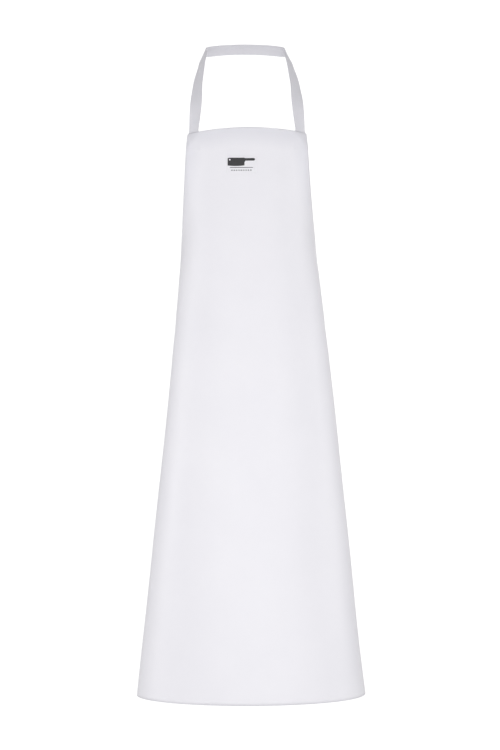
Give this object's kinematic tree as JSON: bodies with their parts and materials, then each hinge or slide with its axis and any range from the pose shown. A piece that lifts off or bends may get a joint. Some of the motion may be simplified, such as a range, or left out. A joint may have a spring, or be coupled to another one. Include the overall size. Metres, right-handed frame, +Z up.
{
  "type": "butcher apron",
  "caption": "Butcher apron in white coated fabric: A-line wrap-round panel with a bib, a fixed neck strap, and waist straps tied in a bow behind.",
  "frame": {"origin": "middle of the neck strap's inner face at the nape, where a neck or a hook holds the apron up", "axes": "+Z up along the hanging apron, -Y out of its front, +X to the right as seen from the front"},
  "size_m": [0.4894, 0.2518, 1.3993],
  "materials": {
    "coated_panel": "satin coating over a fine weave",
    "strap": "satin coated strip",
    "patch": "satin coated cloth, welded",
    "print_film": null
  },
  "bodies": {
    "neck_loop": {"neck_strap": "strap"},
    "apron": {"apron_panel": "coated_panel", "chest_print": "print_film", "bow_knot": "strap", "corner_patch_left": "patch", "neck_strap_end_left": "strap", "waist_patch_left": "patch", "waist_tie_left": "strap", "bow_loop_left": "strap", "corner_patch_right": "patch", "neck_strap_end_right": "strap", "waist_patch_right": "patch", "waist_tie_right": "strap", "bow_loop_right": "strap"},
    "tail_left": {"tie_tail_left": "strap"},
    "tail_right": {"tie_tail_right": "strap"}
  },
  "joints": [
    {"name": "neck_strap_bend", "type": "hinge", "parent": "neck_loop", "child": "apron", "pos_m": [0, -0.19701, -0.19506], "axis": [1, 0, 0], "range_deg": [-40, 35]},
    {"name": "tail_left_swing", "type": "hinge", "parent": "apron", "child": "tail_left", "pos_m": [-0.0068, -0.02, -0.6739], "axis": [1, 0, 0], "range_deg": [-20, 60]},
    {"name": "tail_right_swing", "type": "hinge", "parent": "apron", "child": "tail_right", "pos_m": [0.0068, -0.02, -0.6739], "axis": [1, 0, 0], "range_deg": [-20, 60]}
  ]
}
